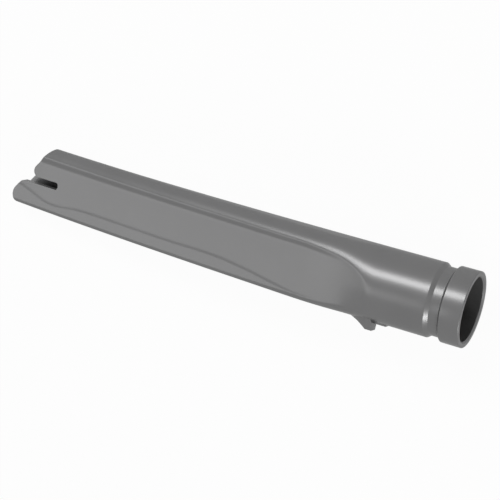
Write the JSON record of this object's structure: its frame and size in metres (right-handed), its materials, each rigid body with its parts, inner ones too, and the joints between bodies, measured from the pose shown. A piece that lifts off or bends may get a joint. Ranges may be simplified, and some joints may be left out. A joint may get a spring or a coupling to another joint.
{
  "type": "vacuum crevice nozzle",
  "caption": "Hollow moulded crevice nozzle: a round socket end flattens into a long snout with a sunk front face, a slanted slotted tip and a side catch.",
  "frame": {"origin": "centre of the socket's mouth, in the plane of the collar's end face", "axes": "+X along the tool from the socket to the slanted tip, +Y towards the side with the catch, +Z out of the sunk front face; it lies on its back"},
  "size_m": [0.2742, 0.0437, 0.038],
  "materials": {
    "plastic": "satin, mid grey"
  },
  "bodies": {
    "root": {"nozzle": "plastic"}
  },
  "joints": []
}
